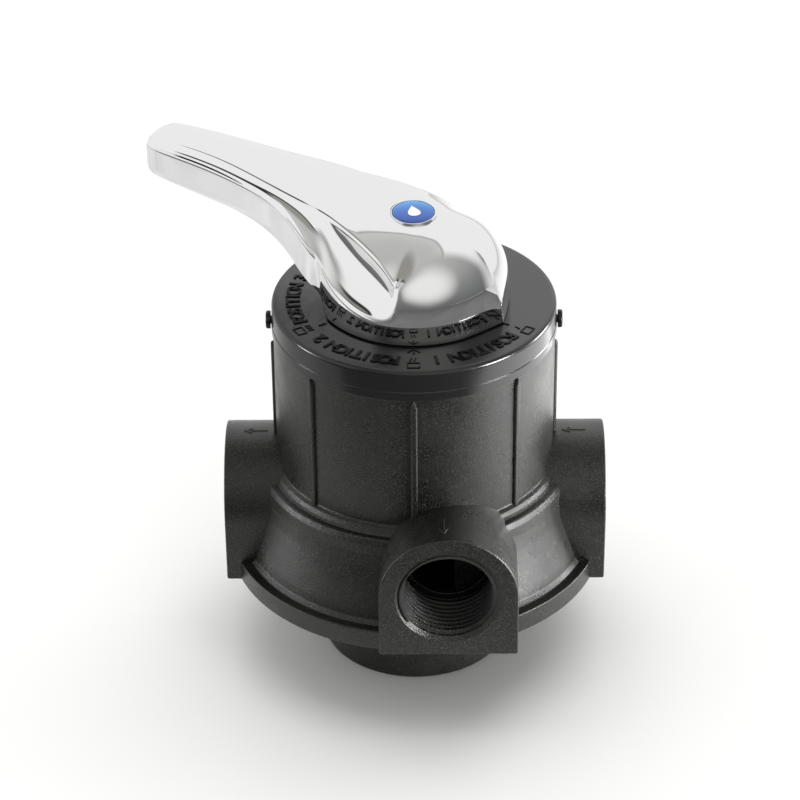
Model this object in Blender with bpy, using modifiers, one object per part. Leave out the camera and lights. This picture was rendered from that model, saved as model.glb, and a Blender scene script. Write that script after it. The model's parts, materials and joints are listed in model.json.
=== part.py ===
"""Three-position multiport valve for a pool filter, built from its separate pieces.

Metres, +Z up. The origin is on the valve's axis, at the bottom end of the threaded neck.
+X is the right-hand port, -Y is the front port, and the handle rests over the -30 degree mark.
"""

import math

import bmesh
import bpy
from mathutils import Matrix, Vector

# ---------------------------------------------------------------- driving dimensions (metres)
GAP = 0.0003                    # clearance between neighbouring pieces
SHARP_ANGLE = math.radians(35)  # edges above this stay sharp in the shading

PORT_THREAD_R = 0.01515         # minor radius of a 1 inch pipe thread
PORT_MOUTH_R = 0.01845          # lead-in chamfer at the face
PORT_BOSS_R = 0.0244            # round top of each port boss
PORT_AXIS_Z = 0.0622
PORT_REACH = 0.0686             # axis to the face of the two side ports
FRONT_REACH = 0.06975           # axis to the face of the front port
FRONT_SHIFT = 0.01165           # sideways offset of the front port
THREAD_DEPTH = 0.0225
PASSAGE_R = 0.0125

NECK_R = 0.0343                 # plain pilot end of the tank neck
NECK_THREAD_R = 0.0363          # 2.5 inch tank thread above it
NECK_BORE_R = 0.0300
PILOT_TOP = 0.0125
NECK_ROOF = 0.0400              # top of the ring-shaped space round the riser tube

RISER_R = 0.0135                # bore for the 1.05 inch riser pipe
RISER_TUBE_R = 0.0190
RISER_SEAL_R = 0.0162           # counterbore for the riser's seal and collar

FLANGE_R = 0.0680
FLANGE_BOTTOM = PORT_AXIS_Z - PORT_BOSS_R
SEAL_SEAT_R = 0.0423            # shallow recess under the flange that holds the tank O-ring
SEAL_SEAT_DEPTH = 0.0010
FLANGE_TOP = 0.0456
BODY_R = 0.0500
BODY_TOP = 0.1335
CHAMBER_R = 0.0430
CHAMBER_FLOOR = 0.0920
DUCT_ROOF = 0.0865              # ducts under the chamber floor, one for each port
DUCT_FLOOR = 0.0460
DUCT_INNER_R = 0.0190
DUCT_OUTER_R = 0.0450
DUCT_HALF_ANGLE = 39.0

RIB_WIDTH = 0.0020
RIB_PROUD = 0.0010
RIB_BOTTOM = 0.0760
RIB_TOP = 0.1313
SIDE_RIB_TOP = 0.1250           # the two side ribs stop below the lock screws

CAP_R = 0.0503
CAP_TOP = 0.1424
CAP_BOTTOM = 0.1338
CAP_SKIRT_R = 0.0426
CAP_BORE_R = 0.0176

PORTING_R = 0.0300              # circle of the four outer flow holes
FLOW_R = 0.0078
CENTRE_FLOW_R = 0.0090

STEM_R = 0.0169
DRIVE_HALF = 0.0100             # half of the square drive on the stem
DRIVE_TOP = 0.1570

HANDLE_R = 0.0340
HANDLE_FOOT = 0.0005            # the handle's underside above the cap
HANDLE_RIM = 0.0085             # top of its plain band above the cap
DOME_RISE = 0.0263
REST_ANGLE = 150.0              # direction of the arm, so the pointer is at -30 degrees

LOCK_SCREW_Z = 0.1336
LOCK_HEAD_R = 0.00325


# ---------------------------------------------------------------- helpers
def clear_scene():
    for obj in list(bpy.data.objects):
        bpy.data.objects.remove(obj, do_unlink=True)


def new_collection(name, hidden=False):
    collection = bpy.data.collections.new(name)
    collection.hide_render = hidden
    bpy.context.scene.collection.children.link(collection)
    return collection


def plain_material(name, colour, roughness, metallic=0.0):
    material = bpy.data.materials.new(name)
    material.use_nodes = True
    shader = material.node_tree.nodes["Principled BSDF"]
    shader.inputs["Base Color"].default_value = (*colour, 1.0)
    shader.inputs["Roughness"].default_value = roughness
    shader.inputs["Metallic"].default_value = metallic
    return material


def add_object(name, mesh, material=None):
    """A node when it has a material, otherwise a hidden helper for a Boolean."""
    obj = bpy.data.objects.new(name, mesh)
    if material:
        mesh.materials.append(material)
        PARTS.objects.link(obj)
    else:
        obj.hide_render = True
        obj.display_type = "WIRE"
        CUTTERS.objects.link(obj)
    return obj


def turned(name, profile, steps, material=None, closed=False):
    """A profile of (radius, height) points, turned about Z. It runs down the outer side."""
    mesh = bpy.data.meshes.new(name)
    edges = [(i, i + 1) for i in range(len(profile) - 1)]
    if closed:
        edges.append((len(profile) - 1, 0))
    mesh.from_pydata([(r, 0.0, z) for r, z in profile], edges, [])
    obj = add_object(name, mesh, material)
    screw = obj.modifiers.new("turn", "SCREW")
    screw.angle = math.tau
    screw.steps = steps
    screw.render_steps = steps
    screw.use_merge_vertices = True
    screw.merge_threshold = 0.00001
    screw.use_smooth_shade = True
    return obj


def ring(name, inner, outer, bottom, top, steps, material=None):
    profile = [(outer, top), (outer, bottom), (inner, bottom), (inner, top)]
    return turned(name, profile, steps, material, closed=True)


def mesh_from(name, build, material=None):
    mesh = bpy.data.meshes.new(name)
    bm = bmesh.new()
    build(bm)
    bmesh.ops.recalc_face_normals(bm, faces=bm.faces)
    bm.to_mesh(mesh)
    bm.free()
    mesh.shade_smooth()
    mesh.set_sharp_from_angle(angle=SHARP_ANGLE)
    return add_object(name, mesh, material)


def rod(name, radius, start, end, segments, material=None, mouth_radius=None):
    """A cylinder or cone from one point to another."""
    start, end = Vector(start), Vector(end)
    direction = end - start
    turn = Vector((0, 0, 1)).rotation_difference(direction).to_matrix().to_4x4()
    place = Matrix.Translation((start + end) / 2) @ turn

    def build(bm):
        bmesh.ops.create_cone(bm, cap_ends=True, segments=segments, radius1=radius,
                              radius2=mouth_radius or radius, depth=direction.length, matrix=place)

    return mesh_from(name, build, material)


def block(name, low, high, material=None):
    low, high = Vector(low), Vector(high)

    def build(bm):
        place = Matrix.Translation((low + high) / 2) @ Matrix.Diagonal((*(high - low), 1.0))
        bmesh.ops.create_cube(bm, size=1.0, matrix=place)

    return mesh_from(name, build, material)


def prism(name, outline, bottom, top, material=None):
    """A flat outline of (x, y) points, extruded up."""
    def build(bm):
        face = bm.faces.new([bm.verts.new((x, y, bottom)) for x, y in outline])
        extruded = bmesh.ops.extrude_face_region(bm, geom=[face])["geom"]
        raised = [item for item in extruded if isinstance(item, bmesh.types.BMVert)]
        bmesh.ops.translate(bm, verts=raised, vec=(0.0, 0.0, top - bottom))

    return mesh_from(name, build, material)


def torus(name, ring_radius, wire_radius, height, segments, material):
    """An O-ring that lies flat at a height."""
    sides = 6
    half_step = math.pi / sides
    profile = [(ring_radius + wire_radius * math.cos(half_step - i * math.tau / sides),
                height + wire_radius * math.sin(half_step - i * math.tau / sides))
               for i in range(sides)]
    return turned(name, profile, segments, material, closed=True)


def combine(obj, others, operation):
    for other in others:
        boolean = obj.modifiers.new(other.name, "BOOLEAN")
        boolean.operation = operation
        boolean.object = other
        boolean.solver = "EXACT"


def on_circle(radius, degrees):
    angle = math.radians(degrees)
    return radius * math.cos(angle), radius * math.sin(angle)


# ---------------------------------------------------------------- valve body
def port_outline():
    """The boss seen from its mouth: round above the axis, square-cornered below."""
    steps = 16
    arc = [(PORT_BOSS_R * math.cos(math.pi * i / steps), PORT_BOSS_R * math.sin(math.pi * i / steps))
           for i in range(steps + 1)]
    return arc + [(-PORT_BOSS_R, -PORT_BOSS_R), (PORT_BOSS_R, -PORT_BOSS_R)]


def port_pieces(name, reach, heading, shift):
    """The boss to join on and the stepped bore to cut, for the port that faces a heading."""
    length = reach - 0.036
    stand = Matrix.Rotation(math.radians(heading), 4, "Z")
    stand = stand @ Matrix.Translation((reach, shift, PORT_AXIS_Z))
    boss = prism(name + "_boss", port_outline(), -length, 0.0)
    boss.data.transform(stand @ Matrix.Rotation(math.radians(90), 4, "Z")
                        @ Matrix.Rotation(math.radians(90), 4, "X"))
    bore_end = reach - 0.042
    bore = turned(name + "_bore", [
        (0.0, 0.001),
        (PORT_MOUTH_R + 0.001, 0.001),
        (PORT_THREAD_R, PORT_THREAD_R - PORT_MOUTH_R),
        (PORT_THREAD_R, -THREAD_DEPTH),
        (PASSAGE_R, -THREAD_DEPTH),
        (PASSAGE_R, -bore_end),
        (0.0, -bore_end),
    ], 32)
    bore.matrix_world = stand @ Matrix.Rotation(math.radians(90), 4, "Y")
    return boss, bore


def duct(name, heading):
    """A ring-shaped chamber under the floor, which leads from one port to its flow hole."""
    steps = 8
    turn = 2 * DUCT_HALF_ANGLE / steps
    angles = [heading - DUCT_HALF_ANGLE + i * turn for i in range(steps + 1)]
    outline = [on_circle(DUCT_OUTER_R, a) for a in angles]
    outline += [on_circle(DUCT_INNER_R, a) for a in reversed(angles)]
    return prism(name, outline, DUCT_FLOOR, DUCT_ROOF)


def rib(name, heading, top):
    """A raised line up the side of the body, with a pointed top."""
    point = 0.0025
    half = RIB_WIDTH / 2
    outline = [(-half, RIB_BOTTOM), (half, RIB_BOTTOM), (half, top - point), (0.0, top),
               (-half, top - point)]
    obj = prism(name, outline, BODY_R - 0.002, BODY_R + RIB_PROUD)
    obj.data.transform(Matrix.Rotation(math.radians(heading), 4, "Z")
                       @ Matrix.Rotation(math.radians(90), 4, "Z")
                       @ Matrix.Rotation(math.radians(90), 4, "X"))
    return obj


def flow_holes(prefix, bottom, top):
    """The centre hole and the four outer holes that line up through floor, gasket and disc."""
    holes = [rod(prefix + "_flow_centre", CENTRE_FLOW_R, (0, 0, bottom), (0, 0, top), 24)]
    for heading in (0, 90, 180, 270):
        x, y = on_circle(PORTING_R, heading)
        holes.append(rod(f"{prefix}_flow_{heading}", FLOW_R, (x, y, bottom), (x, y, top), 18))
    return holes


def make_body():
    wall = [
        (BODY_R, BODY_TOP),
        (BODY_R, 0.0782),
        (0.0510, 0.0773),
        (0.0545, 0.0759),
        (0.0558, 0.0750),
        (0.0562, 0.0734),
        (0.0566, 0.0700),
        (0.0575, 0.0650),
        (0.0591, 0.0595),
        (0.0608, 0.0540),
        (0.0622, 0.0495),
        (0.0632, 0.0468),
        (0.0643, FLANGE_TOP),
        (FLANGE_R - 0.0008, FLANGE_TOP),
        (FLANGE_R, FLANGE_TOP - 0.0008),
        (FLANGE_R, FLANGE_BOTTOM + 0.0008),
        (FLANGE_R - 0.0008, FLANGE_BOTTOM),
        (NECK_THREAD_R, FLANGE_BOTTOM),
        (NECK_THREAD_R, PILOT_TOP + 0.0015),
        (NECK_R, PILOT_TOP),
        (NECK_R, 0.0010),
        (NECK_R - 0.0010, 0.0),
        (NECK_BORE_R, 0.0),
        (NECK_BORE_R, NECK_ROOF),
        (RISER_TUBE_R, NECK_ROOF),
        (RISER_TUBE_R, 0.0040),
        (RISER_SEAL_R, 0.0040),
        (RISER_SEAL_R, 0.0130),
        (RISER_R, 0.0130),
        (RISER_R, 0.0720),
        (CENTRE_FLOW_R, 0.0720),
        (CENTRE_FLOW_R, CHAMBER_FLOOR),
        (CHAMBER_R, CHAMBER_FLOOR),
        (CHAMBER_R, BODY_TOP),
    ]
    body = turned("valve_body", wall, 48, BLACK_PLASTIC, closed=True)
    ports = [port_pieces("right_port", PORT_REACH, 0, 0.0),
             port_pieces("left_port", PORT_REACH, 180, 0.0),
             port_pieces("front_port", FRONT_REACH, -90, FRONT_SHIFT)]
    ribs = []
    for heading in range(0, 360, 45):
        top = SIDE_RIB_TOP if heading % 180 == 0 else RIB_TOP
        ribs.append(rib(f"rib_{heading}", heading, top))
    combine(body, [boss for boss, _ in ports] + ribs, "UNION")
    seal_seat = ring("seal_seat", NECK_THREAD_R + GAP, SEAL_SEAT_R, FLANGE_BOTTOM - 0.001,
                     FLANGE_BOTTOM + SEAL_SEAT_DEPTH, 48)
    combine(body, [seal_seat] + [bore for _, bore in ports], "DIFFERENCE")
    combine(body, [duct(f"duct_{heading}", heading) for heading in (0, 90, 180, 270)], "DIFFERENCE")
    combine(body, flow_holes("floor", DUCT_ROOF - 0.001, CHAMBER_FLOOR + 0.001)[1:], "DIFFERENCE")
    tank_duct = rod("tank_duct", FLOW_R, (0, 0.0245, NECK_ROOF - 0.001), (0, 0.0245, DUCT_FLOOR + 0.001), 20)
    combine(body, [tank_duct], "DIFFERENCE")
    combine(body, LOCK_HOLES, "DIFFERENCE")


# ---------------------------------------------------------------- cap and lock screws
def make_lock_screws():
    """Two screws on the parting line between cap and body. Their holes are cut in both."""
    shank_r = 0.0015
    seat = CAP_R + 0.0005
    holes = []
    for side, sign in (("left", -1), ("right", 1)):
        holes.append(rod(f"lock_hole_{side}", shank_r + GAP, (sign * 0.0436, 0, LOCK_SCREW_Z),
                         (sign * 0.0520, 0, LOCK_SCREW_Z), 16))
        screw = turned(f"lock_screw_{side}", [
            (0.0, seat + 0.0016),
            (LOCK_HEAD_R - 0.0006, seat + 0.0016),
            (LOCK_HEAD_R, seat + 0.0010),
            (LOCK_HEAD_R, seat),
            (shank_r, seat),
            (shank_r, 0.0440),
            (0.0, 0.0440),
        ], 20, BLACK_SCREW)
        screw.matrix_world = (Matrix.Translation((0, 0, LOCK_SCREW_Z))
                              @ Matrix.Rotation(math.radians(90 * sign), 4, "Y"))
        slot = block(f"lock_slot_{side}", (-0.0022, -0.0004, seat + 0.0008), (0.0022, 0.0004, seat + 0.0030))
        slot.matrix_world = screw.matrix_world
        combine(screw, [slot], "DIFFERENCE")
    return holes


def make_cap():
    cap = turned("cap", [
        (0.0194, CAP_TOP),
        (CAP_R - 0.0015, CAP_TOP),
        (CAP_R - 0.0004, CAP_TOP - 0.0005),
        (CAP_R, CAP_TOP - 0.0016),
        (CAP_R, CAP_BOTTOM),
        (CAP_SKIRT_R, CAP_BOTTOM),
        (CAP_SKIRT_R, 0.1269),
        (0.0393, 0.1269),
        (0.0393, 0.1231),
        (CAP_SKIRT_R, 0.1231),
        (CAP_SKIRT_R, 0.1198),
        (0.0365, 0.1198),
        (0.0365, 0.1368),
        (0.0275, 0.1368),
        (0.0275, 0.1171),
        (CAP_BORE_R, 0.1171),
        (CAP_BORE_R, 0.1340),
        (0.0194, 0.1340),
    ], 48, CAP_PLASTIC, closed=True)
    combine(cap, LOCK_HOLES, "DIFFERENCE")
    ring("stem_bush", 0.01725, 0.0191, 0.1343, CAP_TOP - GAP, 36, WHITE_PLASTIC)
    torus("cap_o_ring", 0.04105, 0.00145, 0.1250, 48, RUBBER)


# ---------------------------------------------------------------- seals and ceramic discs
def make_seals():
    tank_wire_r = 0.00265
    tank_ring_z = FLANGE_BOTTOM + SEAL_SEAT_DEPTH - GAP - tank_wire_r
    torus("tank_o_ring", 0.03935, tank_wire_r, tank_ring_z, 40, RUBBER)
    torus("riser_o_ring", 0.01423, 0.00133, 0.0113, 28, RUBBER)
    ring("riser_collar", 0.0136, RISER_SEAL_R - GAP, 0.0040, 0.0096, 32, WHITE_PLASTIC)
    ring("friction_washer", 0.0174, 0.0270, 0.1154, 0.1168, 36, WHITE_PLASTIC)


def make_fixed_stack():
    gasket_bottom = CHAMBER_FLOOR + GAP
    gasket_top = gasket_bottom + 0.0027
    disc_bottom = gasket_top + GAP
    gasket = rod("disc_gasket", 0.0425, (0, 0, gasket_bottom), (0, 0, gasket_top), 40, RUBBER)
    combine(gasket, flow_holes("gasket", gasket_bottom - 0.001, gasket_top + 0.001), "DIFFERENCE")
    disc = rod("fixed_disc", 0.0415, (0, 0, disc_bottom), (0, 0, disc_bottom + 0.0060), 40, CERAMIC)
    combine(disc, flow_holes("disc", disc_bottom - 0.001, disc_bottom + 0.0070), "DIFFERENCE")
    return disc_bottom + 0.0060


def pin_holes(prefix, bottom, top):
    holes = []
    for heading in PIN_HEADINGS:
        x, y = on_circle(PORTING_R, heading)
        holes.append(rod(f"{prefix}_pin_hole_{heading}", 0.0028, (x, y, bottom), (x, y, top), 16))
    return holes


def make_moving_stack(fixed_top):
    """The moving disc, its drive pins and the seat whose stem comes up through the cap."""
    disc_bottom = fixed_top + GAP
    disc_top = disc_bottom + 0.0063
    seat_bottom = disc_top + GAP
    disc = rod("moving_disc", 0.0385, (0, 0, disc_bottom), (0, 0, disc_top), 40, CERAMIC)
    x, y = on_circle(PORTING_R, 30)
    window = rod("disc_window", 0.0085, (x, y, disc_bottom - 0.001), (x, y, disc_top + 0.001), 20)
    pocket = block("disc_pocket", (-0.0080, -0.0360, disc_bottom - 0.001),
                   (0.0080, 0.0080, disc_bottom + 0.0028))
    combine(disc, [window, pocket] + pin_holes("disc", disc_top - 0.0030, disc_top + 0.001), "DIFFERENCE")

    seat = turned("moving_seat", [
        (0.0, DRIVE_TOP - 0.0140),
        (STEM_R, DRIVE_TOP - 0.0140),
        (STEM_R, 0.1289),
        (0.0147, 0.1289),
        (0.0147, 0.1261),
        (STEM_R, 0.1261),
        (STEM_R, 0.1229),
        (0.0147, 0.1229),
        (0.0147, 0.1201),
        (STEM_R, 0.1201),
        (STEM_R, 0.1151),
        (0.0380, 0.1151),
        (0.0380, seat_bottom),
        (0.0, seat_bottom),
    ], 40, GREY_PLASTIC)
    drive = block("seat_drive", (-DRIVE_HALF, -DRIVE_HALF, 0.1400), (DRIVE_HALF, DRIVE_HALF, DRIVE_TOP))
    drive.rotation_euler.z = math.radians(REST_ANGLE)
    combine(seat, [drive], "UNION")
    insert_hole = rod("insert_hole", 0.0050, (0, 0, 0.1400), (0, 0, DRIVE_TOP + 0.001), 24)
    combine(seat, [insert_hole] + pin_holes("seat", seat_bottom - 0.001, seat_bottom + 0.0035), "DIFFERENCE")
    for heading in PIN_HEADINGS:
        x, y = on_circle(PORTING_R, heading)
        rod(f"drive_pin_{heading}", 0.0025, (x, y, disc_top - 0.0027), (x, y, seat_bottom + 0.0032),
            16, STEEL)
    ring("seat_insert", 0.0032, 0.0047, 0.1403, DRIVE_TOP - GAP, 24, BRASS)
    torus("stem_o_ring_lower", 0.01605, 0.00105, 0.1215, 32, RUBBER)
    torus("stem_o_ring_upper", 0.01605, 0.00105, 0.1275, 32, RUBBER)


# ---------------------------------------------------------------- handle
def dome_height(u, w):
    """The dome's height above the cap, half an ellipsoid on the handle's plain band."""
    inside = max(0.0, 1.0 - (u * u + w * w) / HANDLE_R ** 2)
    return HANDLE_RIM + DOME_RISE * math.sqrt(inside)


def scooped_rib(keel, crown, edge, foot, hollow):
    """Half a cross-section of the arm, from its top line to the middle of its underside.

    Each point is (along the arm, to the side, above the cap). The scoop sinks between the
    crown's edge and the outer wall by the share hollow of their distance."""
    keel, crown, edge, foot = Vector(keel), Vector(crown), Vector(edge), Vector(foot)
    shoulder = keel.lerp(crown, 0.55) + Vector((0, 0, 0.35 * (keel.z - crown.z)))
    across = edge - crown
    sink = Vector((0.0, across.z, -across.y)) * hollow
    points = [keel, shoulder, crown, crown + across * 0.3 + sink, crown + across * 0.7 + sink, edge, foot]
    return points + under_points(foot, keel.x)


def under_points(foot, middle_u):
    middle = Vector((middle_u, 0.0, foot.z))
    return [foot.lerp(middle, share) for share in (0.35, 0.7, 1.0)]


def dome_rib(keel_u, degrees, shares):
    """Half a cross-section of the dome, from its top line to the rim at an angle."""
    keel = Vector((keel_u, 0.0, 0.0))
    u, w = on_circle(HANDLE_R, degrees)
    rim = Vector((u, w, 0.0))
    points = []
    for share in (0.0, *shares):
        point = keel.lerp(rim, share)
        points.append(Vector((point.x, point.y, dome_height(point.x, point.y))))
    foot = Vector((u, w, HANDLE_FOOT))
    return points + [Vector((u, w, HANDLE_RIM)), foot] + under_points(foot, keel_u)


def step_rib(source, height):
    """A copy of a rib whose underside follows the band's circle at a height."""
    points = source[:6]
    edge = source[5]
    start = math.degrees(math.atan2(edge.y, edge.x))
    for share in (0.0, 0.35, 0.7, 1.0):
        u, w = on_circle(HANDLE_R, start * (1.0 - share))
        points.append(Vector((u, w, height)))
    return points


def handle_ribs():
    arm = [
        ((0.1065, 0.0396), (0.1065, 0.0052, 0.0390), (0.1060, 0.0082, 0.0375), 0.0282, 0.10),
        ((0.1040, 0.0406), (0.1040, 0.0068, 0.0398), (0.1033, 0.0105, 0.0377), 0.0271, 0.20),
        ((0.0960, 0.0412), (0.0960, 0.0075, 0.0403), (0.0951, 0.0115, 0.0380), 0.0264, 0.24),
        ((0.0840, 0.0410), (0.0840, 0.0077, 0.0400), (0.0830, 0.0122, 0.0376), 0.0253, 0.24),
        ((0.0720, 0.0404), (0.0720, 0.0086, 0.0393), (0.0709, 0.0134, 0.0369), 0.0246, 0.22),
        ((0.0600, 0.0394), (0.0600, 0.0105, 0.0380), (0.0588, 0.0152, 0.0356), 0.0238, 0.18),
        ((0.0500, 0.0384), (0.0500, 0.0121, 0.0368), (0.0485, 0.0176, 0.0345), 0.0216, 0.14),
        ((0.0420, 0.0376), (0.0420, 0.0135, 0.0360), (0.0400, 0.0208, 0.0324), 0.0188, 0.11),
        ((0.0350, 0.0369), (0.0350, 0.0147, 0.0353), (0.0327, 0.0245, 0.0296), 0.0146, 0.10),
        ((0.0290, 0.0363), (0.0290, 0.0160, 0.0350), (0.0266, 0.0270, 0.0256), 0.0112, 0.10),
    ]
    base = [
        ((0.0265, 0.0361), (0.0265, 0.0167, 0.0346), (0.0230, 0.0272, 0.0235), 47.0, 0.10),
        ((0.0225, 0.0358), (0.0220, 0.0180, 0.0340), (0.0206, 0.0282, 0.0204), 52.0, 0.11),
        ((0.0180, 0.0355), (0.0170, 0.0197, 0.0330), (0.0174, 0.0298, 0.0170), 58.5, 0.12),
        ((0.0130, 0.0352), (0.0110, 0.0213, 0.0315), (0.0132, 0.0314, 0.0139), 67.0, 0.13),
        ((0.0070, 0.0350), (0.0040, 0.0236, 0.0290), (0.0065, 0.0334, 0.0112), 79.0, 0.14),
        ((0.0020, 0.0348), (-0.0035, 0.0256, 0.0255), (0.0000, 0.0340, 0.0098), 90.0, 0.15),
        ((-0.0025, 0.0346), (-0.0088, 0.0276, 0.0208), (-0.0047, 0.0337, 0.0090), 98.0, 0.12),
    ]
    ribs = []
    for (u, z), crown, edge, foot_z, hollow in arm:
        ribs.append(scooped_rib((u, 0.0, z), crown, edge, (edge[0], edge[1], foot_z), hollow))
    for (u, z), crown, edge, degrees, hollow in base:
        foot = (*on_circle(HANDLE_R, degrees), HANDLE_FOOT)
        ribs.append(scooped_rib((u, 0.0, z), crown, edge, foot, hollow))
    first_base = len(arm)
    ribs[first_base] = step_rib(ribs[first_base], HANDLE_RIM)
    ribs[first_base + 1] = step_rib(ribs[first_base + 1], HANDLE_FOOT)
    dome = [
        (-0.0065, 107.0, (0.42, 0.86, 0.92, 0.965)),
        (-0.0100, 117.0, (0.41, 0.76, 0.87, 0.95)),
        (-0.0135, 128.0, (0.39, 0.69, 0.84, 0.95)),
        (-0.0175, 140.0, (0.37, 0.65, 0.82, 0.94)),
        (-0.0210, 152.0, (0.36, 0.62, 0.81, 0.94)),
        (-0.0245, 165.0, (0.36, 0.62, 0.81, 0.94)),
    ]
    for keel_u, degrees, shares in dome:
        ribs.append(dome_rib(keel_u, degrees, shares))
    ribs.append(pointer_rib())
    return ribs


def pointer_rib():
    """The line down the middle of the pointer, from the dome to its tip on the cap."""
    line = [(-0.0270, 0.0247), (-0.0295, 0.0215), (-0.0315, 0.0180), (-0.0330, 0.0143),
            (-0.0342, 0.0112), (-0.0352, 0.0085), (-0.0362, HANDLE_FOOT)]
    line += [(u, HANDLE_FOOT) for u in (-0.0330, -0.0300, -0.0270)]
    return [Vector((u, 0.0, z)) for u, z in line]


def make_handle():
    """A cage of half cross-sections, mirrored and subdivided."""
    ribs = handle_ribs()
    tip = [Vector((0.1078, p.y * 0.75, 0.0335 + (p.z - 0.0335) * 0.75)) for p in ribs[0]]
    ribs.insert(0, tip)
    edge_column, foot_column, crown_column = 5, 6, 2
    scooped_rows = 18
    mesh = bpy.data.meshes.new("handle")
    bm = bmesh.new()
    crease = bm.edges.layers.float.new("crease_edge")
    rows = [[bm.verts.new(point) for point in rib] for rib in ribs]
    for index, (first, second) in enumerate(zip(rows, rows[1:])):
        for column in range(len(first) - 1):
            bm.faces.new((first[column], first[column + 1], second[column + 1], second[column]))
        crown_crease = 0.6 if index < scooped_rows else 0.0
        for column, weight in ((edge_column, 0.75), (foot_column, 0.9), (crown_column, crown_crease)):
            edge = bm.edges.get((first[column], second[column]))
            edge[crease] = weight
    bm.faces.new(rows[0])
    for row in rows[-5:]:
        keel_edges = [edge for edge in row[0].link_edges if abs(edge.other_vert(row[0]).co.y) < 1e-6]
        for edge in keel_edges:
            edge[crease] = 0.9
    for first, second in zip(rows[-1][:foot_column], rows[-1][1:foot_column + 1]):
        bm.edges.get((first, second))[crease] = 1.0
    bmesh.ops.recalc_face_normals(bm, faces=bm.faces)
    bm.to_mesh(mesh)
    bm.free()
    mesh.shade_smooth()
    handle = add_object("handle", mesh, CHROME)
    handle.location.z = CAP_TOP
    handle.rotation_euler.z = math.radians(REST_ANGLE)
    mirror = handle.modifiers.new("halves", "MIRROR")
    mirror.use_axis = (False, True, False)
    mirror.use_clip = True
    mirror.merge_threshold = 0.00001
    subdivision = handle.modifiers.new("smooth", "SUBSURF")
    subdivision.levels = 1
    subdivision.render_levels = 1
    hollow = ring("handle_hollow", 0.0170, 0.0300, CAP_TOP - 0.001, CAP_TOP + 0.0070, 40)
    socket_half = DRIVE_HALF + GAP
    socket = block("handle_socket", (-socket_half, -socket_half, CAP_TOP - 0.002),
                   (socket_half, socket_half, DRIVE_TOP + GAP))
    socket.rotation_euler.z = handle.rotation_euler.z
    stem_room = rod("stem_room", STEM_R + 0.0006, (0, 0, CAP_TOP - 0.002), (0, 0, DRIVE_TOP - 0.0136), 40)
    well = turned("screw_well", [
        (0.0, 0.1900),
        (BADGE_R + GAP, 0.1900),
        (BADGE_R + GAP, BADGE_SEAT),
        (0.0062, BADGE_SEAT),
        (0.0062, SCREW_SEAT),
        (0.0034, SCREW_SEAT),
        (0.0034, DRIVE_TOP - 0.001),
        (0.0, DRIVE_TOP - 0.001),
    ], 32)
    combine(handle, [hollow, socket, stem_room, well], "DIFFERENCE")


def make_handle_fittings():
    washer_bottom = SCREW_SEAT + GAP
    head_bottom = washer_bottom + 0.0007 + GAP
    ring("screw_washer", 0.0033, 0.0058, washer_bottom, washer_bottom + 0.0007, 24, STEEL)
    screw = turned("handle_screw", [
        (0.0, head_bottom + 0.0040),
        (0.0035, head_bottom + 0.0036),
        (0.0052, head_bottom + 0.0020),
        (0.0052, head_bottom),
        (0.0029, head_bottom),
        (0.0029, 0.1450),
        (0.0, 0.1440),
    ], 24, STEEL)
    slots = [block("screw_slot_a", (-0.0026, -0.0005, head_bottom + 0.0018), (0.0026, 0.0005, 0.1700)),
             block("screw_slot_b", (-0.0005, -0.0026, head_bottom + 0.0018), (0.0005, 0.0026, 0.1700))]
    combine(screw, slots, "DIFFERENCE")
    turned("badge", [
        (0.0, BADGE_SEAT + 0.0026),
        (0.0030, BADGE_SEAT + 0.0025),
        (0.0058, BADGE_SEAT + 0.0021),
        (BADGE_R - 0.0003, BADGE_SEAT + 0.0014),
        (BADGE_R, BADGE_SEAT + 0.0010),
        (BADGE_R, BADGE_SEAT + GAP),
        (0.0, BADGE_SEAT + GAP),
    ], 32, BLUE_PLASTIC)


# ---------------------------------------------------------------- the whole valve
PIN_HEADINGS = (90, 210, 330)
SCREW_SEAT = DRIVE_TOP + 0.0040
BADGE_R = 0.0080
BADGE_SEAT = CAP_TOP + 0.0330

clear_scene()
PARTS = new_collection("multiport_valve")
CUTTERS = new_collection("cutters", hidden=True)

BLACK_PLASTIC = plain_material("black_plastic", (0.022, 0.022, 0.023), 0.38)
CAP_PLASTIC = plain_material("cap_plastic", (0.030, 0.030, 0.031), 0.32)
GREY_PLASTIC = plain_material("grey_plastic", (0.10, 0.10, 0.105), 0.45)
WHITE_PLASTIC = plain_material("white_plastic", (0.80, 0.80, 0.78), 0.40)
BLACK_SCREW = plain_material("black_screw", (0.02, 0.02, 0.02), 0.30, 1.0)
RUBBER = plain_material("rubber", (0.015, 0.015, 0.016), 0.60)
CERAMIC = plain_material("ceramic", (0.75, 0.73, 0.70), 0.20)
STEEL = plain_material("steel", (0.60, 0.60, 0.61), 0.28, 1.0)
BRASS = plain_material("brass", (0.72, 0.52, 0.22), 0.30, 1.0)
CHROME = plain_material("chrome", (0.90, 0.90, 0.91), 0.06, 1.0)
BLUE_PLASTIC = plain_material("blue_plastic", (0.05, 0.20, 0.50), 0.15)

LOCK_HOLES = make_lock_screws()
make_body()
make_cap()
make_seals()
make_moving_stack(make_fixed_stack())
make_handle()
make_handle_fittings()
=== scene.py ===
"""The finished look of the multiport valve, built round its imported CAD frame. Metres, +Z up."""

import json
import math

import bmesh
import bpy
from mathutils import Matrix, Vector

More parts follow.
